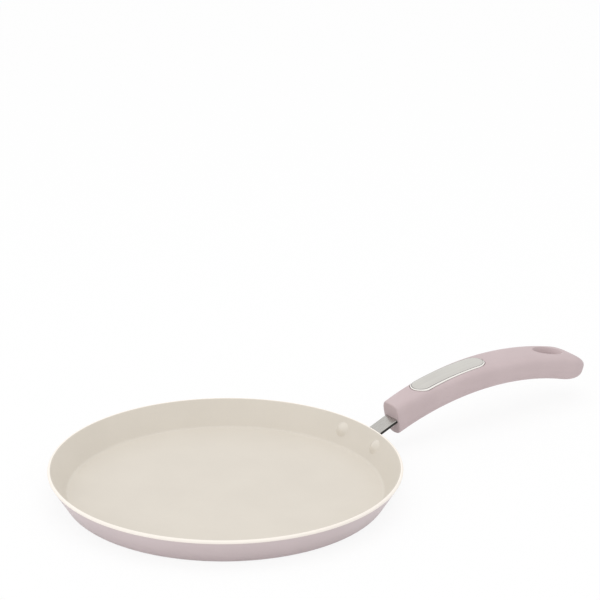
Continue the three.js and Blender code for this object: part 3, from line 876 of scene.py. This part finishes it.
def socket_points():
    """The neck's section, grown by a small clearance, straight into the grip."""
    ends = np.array([-OVERCUT, TONGUE_LENGTH + FIT])[:, None]
    radius = SHEET_EDGE + SOCKET_CLEARANCE
    core = np.array([NECK_WIDTH, SHEET]) / 2 - SHEET_EDGE
    side, up = grown_outline(*core, radius, corner=EDGE_STEPS, edge=6)
    line = MOUTH + (NECK_RISE + up)[:, None] * rise
    place = line[None] + ends[..., None] * run
    return capped(np.stack([place[..., 0], side + 0 * ends, place[..., 1]], axis=-1))


SCREW_FROM_MOUTH = 24.0 * MM
SCREW_HEAD = 4.5 * MM
SCREW_RECESS = 1.4 * MM
SCREW_HEAD_HEIGHT = 3.0 * MM
BORE_CLEARANCE = 0.3 * MM
BORE_CHAMFER = 0.4 * MM
CHAMFER_LIFT = 0.1 * MM
BORE_STEPS = 72
screw_place = MOUTH + SCREW_FROM_MOUTH * run
screw_origin = [screw_place[0], 0.0, screw_place[1]]
screw_axis = [rise[0], 0.0, rise[1]]
bow = GRIP_ARC * (1 - np.cos(SCREW_FROM_MOUTH / GRIP_ARC))
screw_face = SCREW_RECESS - through_three(GRIP_DEPTHS, SCREW_FROM_MOUTH) / 2 - bow
screw_seat = screw_face + SCREW_HEAD_HEIGHT


def bore_points():
    """The screw's countersunk bore, with a small chamfer at the grip's underside."""
    radius = SCREW_HEAD + BORE_CLEARANCE
    edge = screw_face - SCREW_RECESS
    below, chamfer, inner = edge - OVERCUT, edge + CHAMFER_LIFT, screw_seat + FIT
    outside = [[0.0, below], [radius + OVERCUT, below], [radius + BORE_CHAMFER, chamfer]]
    inside = [[radius, chamfer + BORE_CHAMFER], [radius, inner], [0.0, inner]]
    return turned(np.array(outside + inside), screw_origin, screw_axis, BORE_STEPS)


cutters = [
    add_piece("socket", socket_points()),
    add_piece("pocket", pocket_points()),
    add_piece("hole", hole_points()),
    add_piece("bore", bore_points()),
]
carve(grip, cutters)
dress(grip, soft_touch_pink, "soft_touch_pink", "handle_grip")

# %% [markdown]
# ## Inlay and screw
#
# The inlay is a thin steel plate bent to the grip's top. Its edge has a polished bevel,
# and a fine line is cut just inside it. Two marks on the mesh tell the finish where the
# bevel and the line are: the bevel gets a painted highlight and the line painted shade. The screw
# sits in its bore under the grip, and its cross recess is a dent in the height of a turned face.

# %% Inlay piece
INLAY_PROUD = 0.6 * MM
INLAY_BEVEL = 0.8 * MM
BEVEL_DROP = 0.45 * MM
LINE_WIDTH = 0.4 * MM
LINE_DEPTH = 0.12 * MM
LINE_PLACES = np.array([1.0, 0.6, 0.3, 0.0])
LINE_SHARES = np.array([0.0, 1.0, 1.0, 0.0])
RING_EASE = 0.05 * MM
FLAT_RINGS = 14
SLOPE_RINGS = 6


def inlay_rings():
    """Insets, lifts and marks of rings from the middle of the top to the edge, down and underneath."""
    edge = INLAY_BEVEL + LINE_WIDTH * LINE_PLACES
    flat = np.linspace(INLAY_WIDTH / 2, edge[0] + RING_EASE, FLAT_RINGS)
    slope = np.linspace(INLAY_BEVEL - RING_EASE, RING_EASE, SLOPE_RINGS)
    inset = np.concatenate([flat, edge, slope, [0.0, 0.0, INLAY_WIDTH / 2]])
    drop = INLAY_PROUD - BEVEL_DROP * (1 - slope / INLAY_BEVEL)
    groove = INLAY_PROUD - LINE_DEPTH * LINE_SHARES
    rim = [INLAY_PROUD - BEVEL_DROP - RING_EASE, -INLAY_DEPTH, -INLAY_DEPTH]
    lift = np.concatenate([np.full(FLAT_RINGS, INLAY_PROUD), groove, drop, rim])
    bevel, line = np.zeros(inset.size), np.zeros(inset.size)
    line_end = FLAT_RINGS + edge.size - 1
    line[FLAT_RINGS:line_end] = 1.0
    bevel[line_end:-2] = 1.0
    return inset, lift, bevel, line


inset, lift, bevel, line = inlay_rings()
plate = on_crown(inset, lift)
spread = np.ones(plate.shape[:2])
inlay = add_piece("handle_inlay_smooth", plate, bevel=bevel[:, None] * spread, line=line[:, None] * spread)
dress(inlay, inlay_steel, "inlay_steel", "handle_inlay")

# %% Screw piece
SCREW_SHANK = 2.5 * MM
CROSS_LENGTH = 2.5 * MM
CROSS_WIDTH = 0.6 * MM
CROSS_DEPTH = 1.3 * MM
CROSS_SOFT = 0.25 * MM
SCREW_ROUND = 0.6 * MM
SCREW_CROWN = 0.5 * MM
screw_tip = NECK_RISE + SHEET / 2 - FIT


def screw_points(columns=96):
    """A turned head and shank; two crossed slots, deepest in the middle, are pressed into its face."""
    turn = np.linspace(0.0, np.pi / 2, 8)
    face = np.linspace(0.0, SCREW_HEAD - SCREW_ROUND, 40)
    edge = SCREW_HEAD - SCREW_ROUND * (1 - np.sin(turn))
    dome = screw_face + SCREW_CROWN * (face / face[-1]) ** 2
    shoulder = screw_face + SCREW_CROWN + SCREW_ROUND * (1 - np.cos(turn))
    radius = np.concatenate([face, edge, [SCREW_HEAD, SCREW_SHANK, SCREW_SHANK, 0.0]])
    height = np.concatenate([dome, shoulder, [screw_seat, screw_seat, screw_tip, screw_tip]])
    points = turned(np.stack([radius, height], axis=-1), screw_origin, screw_axis, columns)
    angle = np.linspace(0.0, 2 * np.pi, columns, endpoint=False)
    across, over = (np.abs(face[:, None] * wave) for wave in (np.cos(angle), np.sin(angle)))
    slot = np.clip((CROSS_WIDTH - np.minimum(across, over)) / CROSS_SOFT + 0.5, 0.0, 1.0)
    reach = np.clip((CROSS_LENGTH - np.maximum(across, over)) / CROSS_LENGTH, 0.0, 1.0)
    points[: face.size] += (CROSS_DEPTH * slot * np.sqrt(reach))[..., None] * np.array(screw_axis)
    return points


screw = add_piece("handle_screw_smooth", screw_points())
dress(screw, screw_steel, "screw_steel", "handle_screw")

# %% [markdown]
# ## Floor and light
#
# A shot on white needs an even light: a white surrounding that reaches every side, one
# wide soft lamp overhead that models the shapes, and a lower lamp in front on the left that
# fills the faces turned to the pan. The floor is white to the camera and to reflections,
# and it keeps a part of the shadow that the pan throws on it.

# %% Floor and light
FLOOR_HALF = 9.0
FLOOR_LEVEL = -0.2 * MM
FLOOR_GLOW = 0.88
FLOOR_COLOUR = (0.95, 0.95, 0.95, 1.0)
FLOOR_ROUGHNESS = 0.9
WHITE = (1.0, 1.0, 1.0, 1.0)
SURROUND = 0.8
TOP_LAMP = {"place": (0.1, 0.0, 1.7), "width": 1.6, "height": 1.6, "power": 8.0}
FILL_LAMP = {"place": (-1.9, -0.3, 1.05), "width": 1.4, "height": 1.0, "power": 4.5}


def seen_as_background(graph):
    """1 for rays from the camera, a reflection or a clear piece, 0 for light that falls on the object."""
    rays = ("Is Camera Ray", "Is Glossy Ray", "Is Transmission Ray")
    camera, glossy, clear = (graph.node("ShaderNodeLightPath", {}, {}, ray) for ray in rays)
    return graph.node("ShaderNodeMath", {"operation": "MAXIMUM"}, {0: camera + glossy, 1: clear})


def add_floor():
    """A wide square, part of it diffuse to keep the shadow and part of it plain white."""
    corners = np.array([[-1, -1], [1, -1], [1, 1], [-1, 1]]) * FLOOR_HALF
    points = np.column_stack([corners, np.full(4, FLOOR_LEVEL)])
    mesh = bpy.data.meshes.new("floor")
    mesh.from_pydata(points.tolist(), [], [(0, 1, 2, 3)])
    floor = bpy.data.objects.new("floor", mesh)
    bpy.context.collection.objects.link(floor)
    material, graph, _ = new_finish("floor_white", Base_Color=FLOOR_COLOUR, Roughness=FLOOR_ROUGHNESS)
    white = graph.node("ShaderNodeEmission", {}, {"Color": WHITE, "Strength": 1.0})
    diffuse = Field(graph, material.node_tree.nodes["Principled BSDF"].outputs[0])
    share = FLOOR_GLOW * seen_as_background(graph)
    shown = graph.node("ShaderNodeMixShader", {}, {0: share, 1: diffuse, 2: white})
    graph.feed(material.node_tree.nodes["Material Output"].inputs["Surface"], shown)
    mesh.materials.append(material)


def add_world():
    """A white world, brighter to the camera than to the object."""
    world = bpy.data.worlds.new("studio")
    world.use_nodes = True
    bpy.context.scene.world = world
    graph = Graph(world.node_tree)
    strength = SURROUND + (1 - SURROUND) * seen_as_background(graph)
    background = world.node_tree.nodes["Background"].inputs
    background["Color"].default_value = WHITE
    graph.feed(background["Strength"], strength)


def add_lamp(name, place, width, height, power):
    """A rectangular lamp that faces the middle of the pan and doesn't show in its reflections."""
    lamp = bpy.data.objects.new(name, bpy.data.lights.new(name, "AREA"))
    lamp.data.shape = "RECTANGLE"
    lamp.data.size = width
    lamp.data.size_y = height
    lamp.data.energy = power
    lamp.visible_glossy = False
    lamp.location = place
    lamp.rotation_euler = Vector(place).to_track_quat("Z", "Y").to_euler()
    bpy.context.collection.objects.link(lamp)
    print(name, power, "W")


add_floor()
add_world()
add_lamp("top_lamp", **TOP_LAMP)
add_lamp("fill_lamp", **FILL_LAMP)
bpy.context.scene.view_settings.view_transform = "Standard"
